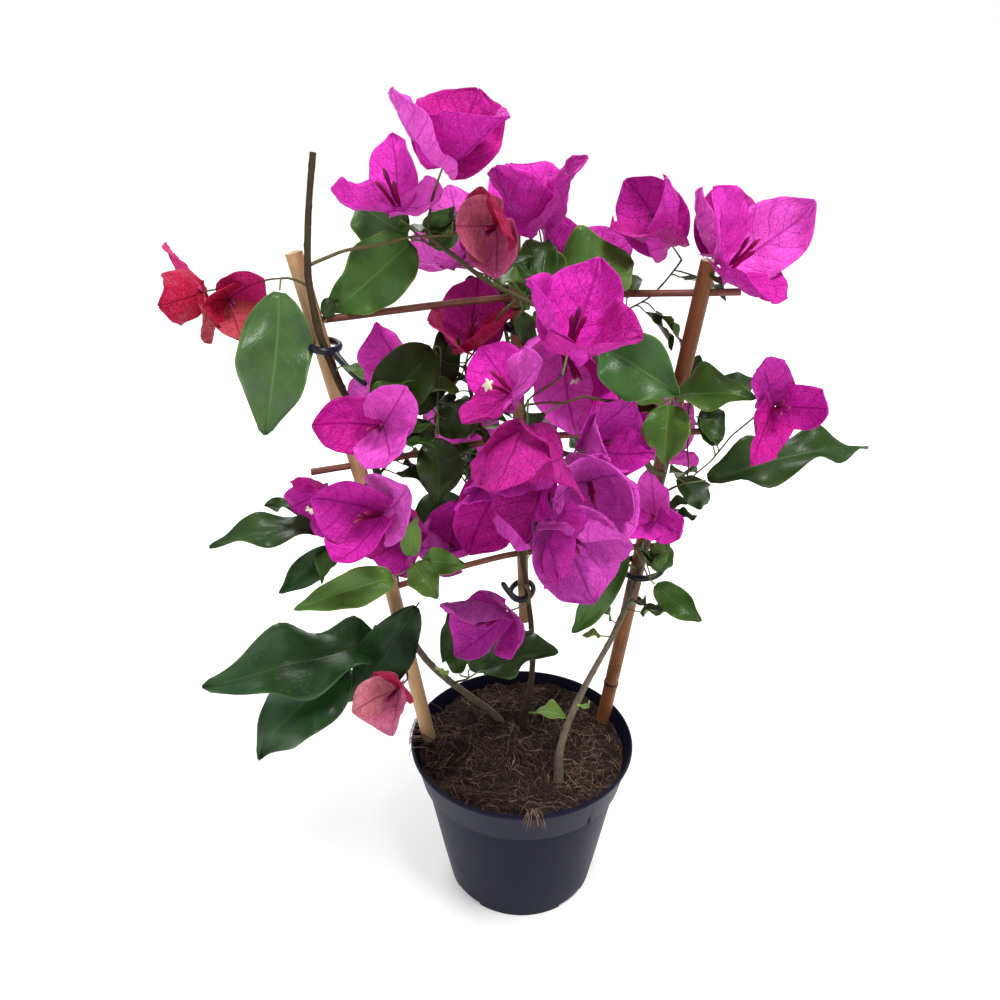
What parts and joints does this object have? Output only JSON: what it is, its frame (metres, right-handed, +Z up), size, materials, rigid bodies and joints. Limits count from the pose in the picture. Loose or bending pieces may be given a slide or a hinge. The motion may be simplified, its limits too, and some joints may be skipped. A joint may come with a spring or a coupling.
{
  "type": "potted bougainvillea on a cane trellis",
  "caption": "Young flowering bougainvillea in a round nursery pot, its stems trained up a fan of bamboo canes and cross sticks, with papery magenta bracts and glossy leaves.",
  "frame": {"origin": "centre of the pot's flat underside", "axes": "+Z up, -Y towards the front of the fan, +X to the right seen from the front"},
  "size_m": [0.4646, 0.282, 0.5783],
  "materials": {
    "pot": "smooth dark blue-grey nursery plastic",
    "compost": "loose brown coir fibre",
    "cane": "dry bamboo with a slight polish",
    "cross_stick": "stained split bamboo",
    "tie": "soft dark blue-black plastic",
    "bark": "young grey-green bark",
    "bract": "papery magenta bract",
    "crimson_bract": "papery crimson bract",
    "salmon_bract": "papery fading salmon bract",
    "leaf": "glossy dark green leaf"
  },
  "bodies": {
    "root": {"pot": "pot", "compost": "compost", "cane_left": "cane", "cane_middle": "cane", "cane_right": "cane", "rung_top": "cross_stick", "rung_middle": "cross_stick", "rung_low": "cross_stick", "stem_left": "bark", "bough_tall": "bark", "stem_middle": "bark", "bough_middle": "bark", "stem_right": "bark", "bough_arching": "bark", "bough_rear": "bark", "tie_left": "tie", "tie_middle_upper": "tie", "tie_middle_lower": "tie", "tie_right": "tie", "bloom_far_left": "crimson_bract", "bloom_top_left": "bract", "bloom_crest": "bract", "bloom_top_middle": "bract", "bloom_salmon": "salmon_bract", "bloom_crimson": "crimson_bract", "bloom_right_rear": "bract", "bloom_right_top": "bract", "bloom_star": "bract", "bloom_left_of_middle": "bract", "bloom_rear": "bract", "bloom_heart": "bract", "bloom_middle_low": "bract", "bloom_front_low": "bract", "bloom_right_of_middle": "bract", "bloom_by_cane": "bract", "bloom_far_right": "bract", "bloom_left_upper": "bract", "bloom_left_lower": "bract", "bloom_left_shade": "bract", "bloom_lowest": "bract", "bloom_pale": "salmon_bract", "bloom_back_high": "bract", "bloom_back_left": "bract", "bloom_back_right": "bract", "leaves_far_left": "leaf", "leaves_top_left": "leaf", "leaves_top": "leaf", "leaves_right_upper": "leaf", "leaves_dark": "leaf", "leaves_inner": "leaf", "leaves_right": "leaf", "leaves_right_behind": "leaf", "leaves_far_right": "leaf", "leaves_low_right": "leaf", "leaves_low_middle": "leaf", "leaves_low_left": "leaf", "leaves_new": "leaf", "leaves_left": "leaf", "leaves_back_high": "leaf", "leaves_back_low": "leaf"}
  },
  "joints": []
}
